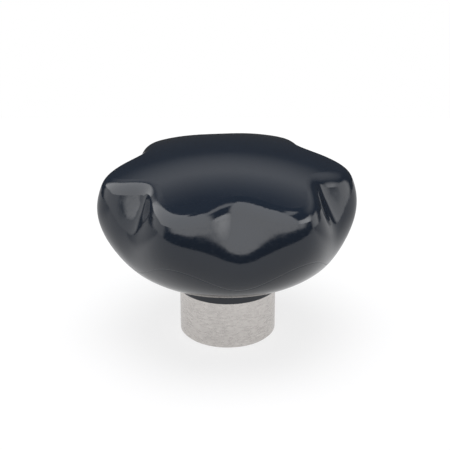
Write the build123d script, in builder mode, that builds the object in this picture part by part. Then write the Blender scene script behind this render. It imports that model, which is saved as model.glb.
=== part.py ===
from build123d import *

import os
from math import cos, radians, sin, tan

# Six-lobed hand knob: a glossy moulded head on a stainless bushing with a tapped blind hole.
# The origin is the centre of the bushing's end face, which the knob stands on. Millimetres.

# Lobed outline
HEAD_RADIUS = 24.1  # out to the widest point of a lobe
LOBES = 6
LOBE_TURN = 6.0  # degrees from +X to the first lobe
LOBE_SHARPNESS = 0.85  # under 1 gives broad lobes and narrow valleys
OUTLINE_STEPS = 6  # spline points from one lobe to the next

# Sections of the head, from the underside up: each one's rise over the last, how far its lobes
# stand in from the head's radius, and how deep its valleys are. The lowest two are round.
UNDERSIDE_INSET = 10.6
BOWL_RISE = 3.1
BOWL_INSET = 5.3
FLARE_RISE = 3.6
FLARE_INSET = 2.0
FLARE_DEPTH = 0.75
PARTING_RISE = 4.5
PARTING_INSET = 0.15
PARTING_DEPTH = 2.5
GRIP_RISE = 4.6
GRIP_INSET = 0.5
GRIP_DEPTH = 4.05
CROWN_RISE = 4.5
CROWN_INSET = 2.3
CROWN_DEPTH = 4.2
BLANK_RISE = 4.0  # the dome cuts the head off below this one
BLANK_INSET = 4.5
BLANK_DEPTH = 4.9

# Dome and rounded edges
DOME_RISE = 2.6  # over the crown section
DOME_RADIUS = 62.0
RIM_ROUND = 3.5
UNDERSIDE_ROUND = 1.0

# Collar that grips the bushing
COLLAR_RADIUS = 9.6
COLLAR_LENGTH = 3.3
COLLAR_LAP = 1.0  # how far it reaches down over the bushing's turned end
COLLAR_ROUND = 0.3
COLLAR_BLEND = 0.8

# Bushing: turned end, knurled shank with its retaining groove, and tapped hole
BUSHING_RADIUS = 9.0
BUSHING_CHAMFER = 0.4
BUSHING_TURNED_LENGTH = 10.4
SHANK_RADIUS = 7.6
SHANK_LENGTH = 12.0
SHANK_CHAMFER = 0.8
GROOVE_DEPTH = 0.9
GROOVE_WIDTH = 2.0
GROOVE_RISE = 5.0  # from the turned end's shoulder to the middle of the groove
KNURL_TEETH = 30
KNURL_DEPTH = 0.5
BORE_RADIUS = 4.25
BORE_DEPTH = 18.0
BORE_CHAMFER = 0.8
DRILL_POINT_ANGLE = 118.0

os.makedirs("parts", exist_ok=True)


def lobed_outline(inset, valley_depth):
    """Points of one section: a wave between the lobes and the valleys, one dip for each lobe."""
    points = []
    for index in range(LOBES * OUTLINE_STEPS):
        angle = radians(360 / (LOBES * OUTLINE_STEPS) * index)
        lobe_share = (0.5 + 0.5 * cos(LOBES * angle)) ** LOBE_SHARPNESS
        radius = HEAD_RADIUS - inset - valley_depth * (1 - lobe_share)
        points.append((radius * cos(angle), radius * sin(angle)))
    return points


def knurl_outline():
    """Points of the knurled shank: one pointed tooth after another."""
    points = []
    for tooth in range(KNURL_TEETH):
        for half_step, radius in ((0, SHANK_RADIUS), (0.5, SHANK_RADIUS - KNURL_DEPTH)):
            angle = radians(360 / KNURL_TEETH * (tooth + half_step))
            points.append((radius * cos(angle), radius * sin(angle)))
    return points


# Outer form of the bushing, shared by the bushing and its seat in the moulding
shank_end = BUSHING_TURNED_LENGTH + SHANK_LENGTH
groove_height = BUSHING_TURNED_LENGTH + GROOVE_RISE
with BuildPart() as bushing_form:
    with BuildSketch(Plane.XY.offset(BUSHING_TURNED_LENGTH)):
        with BuildLine():
            Polyline(*knurl_outline(), close=True)
        make_face()
    extrude(amount=SHANK_LENGTH)
    with BuildSketch(Plane.XZ):
        with BuildLine():
            Polyline(
                (0, BUSHING_TURNED_LENGTH),
                (SHANK_RADIUS, BUSHING_TURNED_LENGTH),
                (SHANK_RADIUS, shank_end - SHANK_CHAMFER),
                (SHANK_RADIUS - SHANK_CHAMFER, shank_end),
                (0, shank_end),
                close=True,
            )
        make_face()
        with Locations((SHANK_RADIUS, groove_height)):
            Rectangle(2 * GROOVE_DEPTH, GROOVE_WIDTH, mode=Mode.SUBTRACT)
    revolve(axis=Axis.Z, mode=Mode.INTERSECT)
    with BuildSketch():
        Circle(BUSHING_RADIUS)
    extrude(amount=BUSHING_TURNED_LENGTH)
    end_face = bushing_form.faces().sort_by(Axis.Z)[0]
    chamfer(end_face.edges(), BUSHING_CHAMFER)

# Stainless bushing with its tapped blind hole
drill_point = BORE_RADIUS / tan(radians(DRILL_POINT_ANGLE / 2))
with BuildPart() as threaded_bushing:
    add(bushing_form.part)
    with BuildSketch(Plane.XZ):
        with BuildLine():
            Polyline(
                (0, 0),
                (BORE_RADIUS + BORE_CHAMFER, 0),
                (BORE_RADIUS, BORE_CHAMFER),
                (BORE_RADIUS, BORE_DEPTH),
                (0, BORE_DEPTH + drill_point),
                close=True,
            )
        make_face()
    revolve(axis=Axis.Z, mode=Mode.SUBTRACT)

# Moulded head: lobed sections lofted into one skin, cut by the dome, with a rolled rim
collar_end = BUSHING_TURNED_LENGTH - COLLAR_LAP
underside_height = collar_end + COLLAR_LENGTH
sections = (
    (0, UNDERSIDE_INSET, 0),
    (BOWL_RISE, BOWL_INSET, 0),
    (FLARE_RISE, FLARE_INSET, FLARE_DEPTH),
    (PARTING_RISE, PARTING_INSET, PARTING_DEPTH),
    (GRIP_RISE, GRIP_INSET, GRIP_DEPTH),
    (CROWN_RISE, CROWN_INSET, CROWN_DEPTH),
    (BLANK_RISE, BLANK_INSET, BLANK_DEPTH),
)
with BuildPart() as knob_body:
    height = underside_height
    for rise, inset, valley_depth in sections:
        height += rise
        with BuildSketch(Plane.XY.offset(height).rotated((0, 0, LOBE_TURN))):
            with BuildLine():
                Spline(*lobed_outline(inset, valley_depth), periodic=True)
            make_face()
    loft()
    dome_apex = height - BLANK_RISE + DOME_RISE
    with BuildSketch(Plane.XZ):
        with Locations((0, dome_apex - DOME_RADIUS)):
            Circle(DOME_RADIUS)
        Rectangle(2 * DOME_RADIUS, 4 * DOME_RADIUS, align=(Align.MAX, Align.CENTER), mode=Mode.SUBTRACT)
    revolve(axis=Axis.Z, mode=Mode.INTERSECT)
    dome = knob_body.faces().sort_by(Axis.Z)[-1]
    fillet(dome.edges(), RIM_ROUND)
    underside = knob_body.faces().sort_by(Axis.Z)[0]
    fillet(underside.edges(), UNDERSIDE_ROUND)
    with BuildSketch(Plane.XY.offset(collar_end)):
        Circle(COLLAR_RADIUS)
    extrude(amount=COLLAR_LENGTH)
    collar_wall = knob_body.faces().filter_by(GeomType.CYLINDER)[0]
    fillet(collar_wall.edges().sort_by(Axis.Z)[-1], COLLAR_BLEND)
    collar_wall = knob_body.faces().filter_by(GeomType.CYLINDER)[0]
    fillet(collar_wall.edges().sort_by(Axis.Z)[0], COLLAR_ROUND)
    add(bushing_form.part, mode=Mode.SUBTRACT)

knob_body.part.label = "knob_body"
threaded_bushing.part.label = "threaded_bushing"
export_step(knob_body.part, "parts/knob_body.step")
export_step(threaded_bushing.part, "parts/threaded_bushing.step")
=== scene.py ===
from math import cos, pi, radians, sin, tan

import bmesh
import bpy
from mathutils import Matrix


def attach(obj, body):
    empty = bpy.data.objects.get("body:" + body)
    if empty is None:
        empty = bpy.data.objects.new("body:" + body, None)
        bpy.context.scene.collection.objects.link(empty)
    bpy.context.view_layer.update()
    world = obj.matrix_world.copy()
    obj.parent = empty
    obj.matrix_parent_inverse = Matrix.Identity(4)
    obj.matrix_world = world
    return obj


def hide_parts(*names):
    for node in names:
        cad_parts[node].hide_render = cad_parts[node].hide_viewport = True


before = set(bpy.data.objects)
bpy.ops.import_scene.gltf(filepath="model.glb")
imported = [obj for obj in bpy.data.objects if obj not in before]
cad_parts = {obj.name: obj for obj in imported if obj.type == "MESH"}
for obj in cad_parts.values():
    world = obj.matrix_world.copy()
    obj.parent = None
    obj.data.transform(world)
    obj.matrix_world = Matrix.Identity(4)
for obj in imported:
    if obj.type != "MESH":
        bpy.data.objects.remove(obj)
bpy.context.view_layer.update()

MM = 0.001
scene = bpy.context.scene
scene.view_settings.view_transform = "Standard"

# View
# The knob stands on its bushing and is seen from a little above, close by, through a long lens.
PHOTO_WIDTH = 450
SIGHT_HEIGHT = 19 * MM  # the point on the knob's axis that the camera looks at
SIGHT_PIXEL = (227.7, 235.9)  # where that point lies in the photograph
SIGHT_DISTANCE = 266 * MM
SIGHT_ELEVATION = radians(24.0)
LENS_LENGTH = 114.0

camera = bpy.data.objects.new("camera", bpy.data.cameras.new("camera"))
scene.collection.objects.link(camera)
scene.camera = camera
camera.location = (
    0,
    -SIGHT_DISTANCE * cos(SIGHT_ELEVATION),
    SIGHT_HEIGHT + SIGHT_DISTANCE * sin(SIGHT_ELEVATION),
)
camera.rotation_euler = (pi / 2 - SIGHT_ELEVATION, 0, 0)
camera.data.lens = LENS_LENGTH
camera.data.shift_x = (PHOTO_WIDTH / 2 - SIGHT_PIXEL[0]) / PHOTO_WIDTH
camera.data.shift_y = (SIGHT_PIXEL[1] - PHOTO_WIDTH / 2) / PHOTO_WIDTH
camera.data.clip_start = 10 * MM


# Threaded bushing
# A stainless bushing, turned from bar. Its bare end carries the knob and is bored and tapped from
# below, and its knurled shank with a groove is gripped by the moulding, which sets round it.
class Wire:
    """A socket of a node tree: arithmetic adds Math nodes, and node() adds any other node."""

    def __init__(self, tree, socket=None):
        self.tree = tree
        self.socket = socket

    def node(self, kind, output, settings, sockets):
        made = self.tree.nodes.new(kind)
        for name, value in settings.items():
            setattr(made, name, value)
        for name, value in sockets.items():
            if isinstance(value, Wire):
                self.tree.links.new(value.socket, made.inputs[name])
            else:
                made.inputs[name].default_value = value
        return Wire(self.tree, None if output is None else made.outputs[output])

    def maths(self, operation, *values):
        return self.node("ShaderNodeMath", "Value", {"operation": operation}, dict(enumerate(values)))

    def __add__(self, other):
        return self.maths("ADD", self, other)

    def __sub__(self, other):
        return self.maths("SUBTRACT", self, other)

    def __rsub__(self, other):
        return self.maths("SUBTRACT", other, self)

    def __mul__(self, other):
        return self.maths("MULTIPLY", self, other)

    def __truediv__(self, other):
        return self.maths("DIVIDE", self, other)



def shader(name):
    """A material with an empty node tree, and the wire that its nodes are added to."""
    material = bpy.data.materials.new(name)
    material.use_nodes = True
    material.node_tree.nodes.clear()
    return material, Wire(material.node_tree)


def close_shader(wire, surface):
    wire.node("ShaderNodeOutputMaterial", None, {}, {"Surface": surface})


def noise(wire, place, scale, detail):
    sockets = {"Vector": place, "Scale": scale, "Detail": detail}
    return wire.node("ShaderNodeTexNoise", "Fac", {"noise_dimensions": "3D"}, sockets)


def map_range(wire, value, low, high, to_low, to_high):
    settings = {"interpolation_type": "SMOOTHSTEP"}
    sockets = {"Value": value, "From Min": low, "From Max": high, "To Min": to_low, "To Max": to_high}
    return wire.node("ShaderNodeMapRange", "Result", settings, sockets)


def blend(wire, factor, low, high):
    """A colour between two others. The mix node's colour sockets go by number."""
    sockets = {"Factor": factor, 6: low, 7: high}
    return wire.node("ShaderNodeMix", 2, {"data_type": "RGBA"}, sockets)


BUSHING_RADIUS = 9.0 * MM
BUSHING_CHAMFER = 0.4 * MM
TURNED_LENGTH = 10.4 * MM
SHANK_RADIUS = 7.6 * MM
SHANK_END = 22.4 * MM
SHANK_CHAMFER = 0.8 * MM
GROOVE_RADIUS = 6.7 * MM
GROOVE_LOW = 14.4 * MM
GROOVE_HIGH = 16.4 * MM
KNURL_TEETH = 30
KNURL_DEPTH = 0.5 * MM
STEPS_PER_TOOTH = 8
THREAD_RADIUS = 5.0 * MM
THREAD_CREST = 4.25 * MM
THREAD_PITCH = 1.5 * MM
THREAD_EMBED = 0.05 * MM
MOUTH_CHAMFER = 0.05 * MM
THREAD_START = 1.3 * MM
THREAD_FOOT = 0.875  # widths of the ridge against its pitch
THREAD_TIP = 0.25
THREAD_RESOLUTION = 64
BORE_DEPTH = 18.0 * MM
DRILL_POINT_ANGLE = radians(118.0)
EDGE_SOFTNESS = 0.08 * MM
STEEL_LIGHT = (0.66, 0.63, 0.605, 1)
STEEL_DULL = (0.54, 0.515, 0.495, 1)
TOOL_MARK_SCALE = (40, 40, 9000)  # the marks run round the bushing, so they are close along Z
GRAIN_SCALE = (900, 900, 2600)
STAIN_SCALE = 150.0
MARK_DEPTH = 0.004 * MM


def lathe(name, outline, segments, radius_at):
    """A closed turned form: the outline's (radius, height, kind) points, spun about Z."""
    form = bmesh.new()
    rings = []
    for radius, height, kind in outline:
        if radius == 0:
            rings.append([form.verts.new((0, 0, height))])
            continue
        ring = []
        for step in range(segments):
            angle = 2 * pi * step / segments
            reach = radius_at(radius, kind, step)
            ring.append(form.verts.new((reach * cos(angle), reach * sin(angle), height)))
        rings.append(ring)
    for lower, upper in zip(rings, rings[1:] + rings[:1]):
        for step in range(segments):
            after = (step + 1) % segments
            corners = [lower[step % len(lower)], lower[after % len(lower)]]
            corners += [upper[after % len(upper)], upper[step % len(upper)]]
            corners = list(dict.fromkeys(corners))
            if len(corners) > 2:
                form.faces.new(corners)
    bmesh.ops.recalc_face_normals(form, faces=form.faces)
    mesh = bpy.data.meshes.new(name)
    form.to_mesh(mesh)
    form.free()
    return mesh


def knurled(radius, kind, step):
    """The shank's teeth: straight flanks from each crest down to the next root."""
    if kind != "knurl":
        return radius
    share = abs(2 * (step % STEPS_PER_TOOTH) / STEPS_PER_TOOTH - 1)
    return radius - KNURL_DEPTH * (1 - share)


drill_point = THREAD_CREST / tan(DRILL_POINT_ANGLE / 2)
bushing_outline = (
    (THREAD_RADIUS + MOUTH_CHAMFER, 0, "plain"),
    (BUSHING_RADIUS - BUSHING_CHAMFER - EDGE_SOFTNESS, 0, "plain"),
    (BUSHING_RADIUS - BUSHING_CHAMFER, EDGE_SOFTNESS / 4, "plain"),
    (BUSHING_RADIUS - EDGE_SOFTNESS / 4, BUSHING_CHAMFER, "plain"),
    (BUSHING_RADIUS, BUSHING_CHAMFER + EDGE_SOFTNESS, "plain"),
    (BUSHING_RADIUS, TURNED_LENGTH, "plain"),
    (SHANK_RADIUS, TURNED_LENGTH, "knurl"),
    (SHANK_RADIUS, GROOVE_LOW, "knurl"),
    (GROOVE_RADIUS, GROOVE_LOW, "plain"),
    (GROOVE_RADIUS, GROOVE_HIGH, "plain"),
    (SHANK_RADIUS, GROOVE_HIGH, "knurl"),
    (SHANK_RADIUS, SHANK_END - SHANK_CHAMFER, "knurl"),
    (SHANK_RADIUS - SHANK_CHAMFER, SHANK_END, "plain"),
    (0, SHANK_END, "plain"),
    (0, BORE_DEPTH + drill_point, "plain"),
    (THREAD_CREST, BORE_DEPTH, "plain"),
    (THREAD_RADIUS, BORE_DEPTH - THREAD_PITCH, "plain"),
    (THREAD_RADIUS, MOUTH_CHAMFER, "plain"),
)
bushing_mesh = lathe("bushing", bushing_outline, KNURL_TEETH * STEPS_PER_TOOTH, knurled)

steel, wire = shader("turned_steel")
place = wire.node("ShaderNodeTexCoord", "Object", {}, {})
rings_place = wire.node("ShaderNodeMapping", "Vector", {}, {"Vector": place, "Scale": TOOL_MARK_SCALE})
tool_marks = noise(wire, rings_place, 1.0, 2.0)
grain_place = wire.node("ShaderNodeMapping", "Vector", {}, {"Vector": place, "Scale": GRAIN_SCALE})
grain = noise(wire, grain_place, 1.0, 3.0)
stain = noise(wire, place, STAIN_SCALE, 2.0)
tone = map_range(wire, stain * 0.35 + grain, 0.40, 0.95, 0.0, 1.0)
steel_colour = blend(wire, tone, STEEL_DULL, STEEL_LIGHT)
marks = wire.node(
    "ShaderNodeBump",
    "Normal",
    {},
    {"Height": tool_marks + grain * 0.6, "Strength": 0.5, "Distance": MARK_DEPTH},
)
steel_surface = wire.node(
    "ShaderNodeBsdfPrincipled",
    "BSDF",
    {},
    {
        "Base Color": steel_colour,
        "Metallic": 1.0,
        "Roughness": map_range(wire, grain, 0.3, 0.7, 0.24, 0.38),
        "Normal": marks,
    },
)
close_shader(wire, steel_surface)

bushing = bpy.data.objects.new("turned_bushing", bushing_mesh)
scene.collection.objects.link(bushing)

# The thread is one ridge wound up the bore's wall by a node tree.
tree = bpy.data.node_groups.new("wind_thread", "GeometryNodeTree")
tree.interface.new_socket("Geometry", in_out="INPUT", socket_type="NodeSocketGeometry")
thread_sizes = {
    "Wall Radius": THREAD_RADIUS,
    "Depth": THREAD_RADIUS - THREAD_CREST,
    "Pitch": THREAD_PITCH,
    "Length": BORE_DEPTH - 2 * THREAD_PITCH - THREAD_START,
    "Start": THREAD_START,
}
for label in thread_sizes:
    tree.interface.new_socket(label, in_out="INPUT", socket_type="NodeSocketFloat")
tree.interface.new_socket("Geometry", in_out="OUTPUT", socket_type="NodeSocketGeometry")
wire = Wire(tree)
inputs = tree.nodes.new("NodeGroupInput")
size = {label: Wire(tree, inputs.outputs[label]) for label in thread_sizes}
helix = wire.node(
    "GeometryNodeCurveSpiral",
    "Curve",
    {},
    {
        "Resolution": THREAD_RESOLUTION,
        "Rotations": size["Length"] / size["Pitch"],
        "Start Radius": size["Wall Radius"] + THREAD_EMBED,
        "End Radius": size["Wall Radius"] + THREAD_EMBED,
        "Height": size["Length"],
    },
)
lift = wire.node("ShaderNodeCombineXYZ", "Vector", {}, {"Z": size["Start"]})
helix = wire.node("GeometryNodeTransform", "Geometry", {}, {"Geometry": helix, "Translation": lift})
helix = wire.node("GeometryNodeSetCurveNormal", "Curve", {"mode": "Z_UP"}, {"Curve": helix})
ridge = wire.node(
    "GeometryNodeCurvePrimitiveQuadrilateral",
    "Curve",
    {"mode": "TRAPEZOID"},
    {
        "Height": size["Depth"] + THREAD_EMBED,
        "Bottom Width": size["Pitch"] * THREAD_FOOT,
        "Top Width": size["Pitch"] * THREAD_TIP,
        "Offset": 0.0,
    },
)
thread = wire.node(
    "GeometryNodeCurveToMesh", "Mesh", {}, {"Curve": helix, "Profile Curve": ridge, "Fill Caps": True}
)
whole = tree.nodes.new("GeometryNodeJoinGeometry")
tree.links.new(inputs.outputs["Geometry"], whole.inputs[0])
tree.links.new(thread.socket, whole.inputs[0])
joined = Wire(tree, whole.outputs[0])
whole = wire.node("GeometryNodeRealizeInstances", "Geometry", {}, {"Geometry": joined})
whole = wire.node("GeometryNodeSetMaterial", "Geometry", {}, {"Geometry": whole, "Material": steel})
wire.node("NodeGroupOutput", None, {}, {"Geometry": whole})

winding = bushing.modifiers.new("thread", "NODES")
winding.node_group = tree
for item in tree.interface.items_tree:
    if item.in_out == "INPUT" and item.name in thread_sizes:
        winding[item.identifier] = thread_sizes[item.name]
bpy.context.view_layer.update()
evaluated = bushing.evaluated_get(bpy.context.evaluated_depsgraph_get())
bushing.data = bpy.data.meshes.new_from_object(evaluated)
bushing.modifiers.clear()
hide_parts("threaded_bushing")
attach(bushing, "root")

# Knob body
# A compression moulding in dark glossy thermoset: six rounded lobes under a shallow dome, with a
# short collar round the bushing. The mould's parting line runs round the sides as a fine witness.
LOBES = 6
LOBE_TURN = radians(6.0)
PARTING_MEAN = 19.8 * MM
PARTING_SWING = 2.2 * MM
PARTING_WIDTH = 0.2 * MM
PARTING_PROUD = 9.0  # how far the line stands out, against the skin's depth
MOULDING_DARK = (0.0118, 0.0172, 0.0285, 1)
MOULDING_LIGHTER = (0.0152, 0.0228, 0.0368, 1)
FLOW_SCALE = 90.0
PEEL_SCALE = 420.0
SPECK_SCALE = 2600.0
SKIN_DEPTH = 0.003 * MM


def coordinates(place):
    """The X, Y and Z of a position."""
    first = place.node("ShaderNodeSeparateXYZ", 0, {}, {"Vector": place})
    return [Wire(place.tree, output) for output in first.socket.node.outputs]


moulding, wire = shader("glossy_moulding")
place = wire.node("ShaderNodeTexCoord", "Object", {}, {})
across, along, height = coordinates(place)
bearing = wire.maths("ARCTAN2", along, across)
wave = wire.maths("COSINE", (bearing - LOBE_TURN) * LOBES)
from_line = wire.maths("ABSOLUTE", height - (wave * PARTING_SWING + PARTING_MEAN))
witness = map_range(wire, from_line, 0.0, PARTING_WIDTH, 1.0, 0.0)
flow = noise(wire, place, FLOW_SCALE, 3.0)
peel = noise(wire, place, PEEL_SCALE, 2.0)
specks = noise(wire, place, SPECK_SCALE, 2.0)
moulding_colour = blend(wire, flow, MOULDING_DARK, MOULDING_LIGHTER)
skin = wire.node(
    "ShaderNodeBump",
    "Normal",
    {},
    {"Height": peel + specks * 0.1 - witness * PARTING_PROUD, "Strength": 1.0, "Distance": SKIN_DEPTH},
)
moulding_surface = wire.node(
    "ShaderNodeBsdfPrincipled",
    "BSDF",
    {},
    {
        "Base Color": moulding_colour,
        "Roughness": map_range(wire, specks + witness * 0.6, 0.3, 1.2, 0.07, 0.3),
        "IOR": 1.5,
        "Normal": skin,
    },
)
close_shader(wire, moulding_surface)
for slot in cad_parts["knob_body"].material_slots:
    slot.material = moulding


# Studio
# A white table in a dim room. A large soft box stands to the left and front, a brighter strip is low
# on the right, and a faint glow lies high behind the knob. The room shows only in reflections.
WHITE = (1, 1, 1, 1)
PAPER = (0.30, 0.30, 0.305, 1)
AMBIENT_LEVEL = 0.7
LAMP_HEIGHT = 0.6
LAMP_SIZE = 0.5
LAMP_POWER = 1.6
FLOOR_FRONT = -0.28
FLOOR_BACK = 0.12
FLOOR_REACH = 3.0
FLOOR_GLOW_SEEN = 0.72
FLOOR_GLOW_REFLECTED = 0.62
BACK_SHADE = 0.3  # how much of that glow is left behind the knob, in its shade
SHADE_START = 5 * MM
SHADE_END = 45 * MM

paper, wire = shader("white_paper")
seen = wire.node("ShaderNodeLightPath", "Is Camera Ray", {}, {})
glossy = Wire(wire.tree, seen.socket.node.outputs["Is Glossy Ray"])
matt = wire.node("ShaderNodeBsdfDiffuse", "BSDF", {}, {"Color": PAPER})
place = wire.node("ShaderNodeTexCoord", "Object", {}, {})
depth = coordinates(place)[1]
shaded = FLOOR_GLOW_REFLECTED * BACK_SHADE
shade = map_range(wire, depth, SHADE_START, SHADE_END, FLOOR_GLOW_REFLECTED, shaded)
glow_level = seen * FLOOR_GLOW_SEEN + glossy * shade
glow = wire.node("ShaderNodeEmission", "Emission", {}, {"Color": WHITE, "Strength": glow_level})
lit = wire.node("ShaderNodeAddShader", "Shader", {}, {0: matt, 1: glow})
clear = wire.node("ShaderNodeBsdfTransparent", "BSDF", {}, {})
under = wire.node("ShaderNodeNewGeometry", "Backfacing", {}, {})
close_shader(wire, wire.node("ShaderNodeMixShader", "Shader", {}, {0: under, 1: lit, 2: clear}))
floor_mesh = bpy.data.meshes.new("floor")
floor_corners = (
    (-FLOOR_REACH, FLOOR_FRONT, 0),
    (FLOOR_REACH, FLOOR_FRONT, 0),
    (FLOOR_REACH, FLOOR_BACK, 0),
    (-FLOOR_REACH, FLOOR_BACK, 0),
)
floor_mesh.from_pydata(floor_corners, [], [(0, 1, 2, 3)])
floor_mesh.materials.append(paper)
floor = bpy.data.objects.new("floor", floor_mesh)
scene.collection.objects.link(floor)

ROOM_RADIUS = 1.2
ROOM_LEVEL = 0.05
# Each light's bearing, half width, elevation and half height, the softness of its side edges and
# of its upper and lower edges, all in degrees, and its brightness
SOFT_BOXES = (
    (-134, 89, 46, 35, 5, 1.5, 2.5),
    (-22, 26, 20, 9, 16, 4, 4.4),
    (-30, 50, 68, 6, 6, 3, 2.0),
    (-188, 24, 4, 7, 6, 2, 1.1),
    (15, 14, 5, 10, 6, 4, 1.5),
    (75, 60, 37, 8, 20, 13, 0.7),
)
room, wire = shader("studio_room")
place = wire.node("ShaderNodeTexCoord", "Object", {}, {})
height = coordinates(place)[2]
elevation = wire.maths("DEGREES", wire.maths("ARCSINE", height / ROOM_RADIUS))
level = ROOM_LEVEL
for bearing, half_width, middle, half_height, side_edge, edge, brightness in SOFT_BOXES:
    sockets = {"Vector": place, "Angle": -radians(bearing)}
    turned = wire.node("ShaderNodeVectorRotate", "Vector", {"rotation_type": "Z_AXIS"}, sockets)
    ahead, aside = coordinates(turned)[:2]
    aside = wire.maths("ABSOLUTE", wire.maths("DEGREES", wire.maths("ARCTAN2", aside, ahead)))
    sideways = map_range(wire, aside, half_width - side_edge, half_width + side_edge, 1.0, 0.0)
    rise = wire.maths("ABSOLUTE", elevation - middle)
    upwards = map_range(wire, rise, half_height - edge, half_height + edge, 1.0, 0.0)
    level = wire.maths("MAXIMUM", sideways * upwards * brightness, level)
walls = wire.node("ShaderNodeEmission", "Emission", {}, {"Color": WHITE, "Strength": level})
close_shader(wire, walls)
shell = bmesh.new()
bmesh.ops.create_icosphere(shell, subdivisions=5, radius=ROOM_RADIUS)
room_mesh = bpy.data.meshes.new("studio_room")
shell.to_mesh(room_mesh)
shell.free()
room_mesh.materials.append(room)
studio_room = bpy.data.objects.new("studio_room", room_mesh)
scene.collection.objects.link(studio_room)
studio_room.location = (0, 0, SIGHT_HEIGHT)
for ray in ("camera", "diffuse", "transmission", "volume_scatter", "shadow"):
    setattr(studio_room, "visible_" + ray, False)

lamp = bpy.data.objects.new("overhead_lamp", bpy.data.lights.new("overhead_lamp", "AREA"))
scene.collection.objects.link(lamp)
lamp.location = (0, 0, LAMP_HEIGHT)
lamp.data.shape = "DISK"
lamp.data.size = LAMP_SIZE
lamp.data.energy = LAMP_POWER
lamp.visible_glossy = False

world = bpy.data.worlds.new("studio")
scene.world = world
world.use_nodes = True
world.node_tree.nodes.clear()
wire = Wire(world.node_tree)
seen = wire.node("ShaderNodeLightPath", "Is Camera Ray", {}, {})
glossy = Wire(wire.tree, seen.socket.node.outputs["Is Glossy Ray"])
through = Wire(wire.tree, seen.socket.node.outputs["Is Transmission Ray"])
direct = wire.maths("MINIMUM", seen + glossy + through, 1.0)
level = direct + (1 - direct) * AMBIENT_LEVEL
backdrop = wire.node("ShaderNodeBackground", "Background", {}, {"Color": WHITE, "Strength": level})
wire.node("ShaderNodeOutputWorld", None, {}, {"Surface": backdrop})
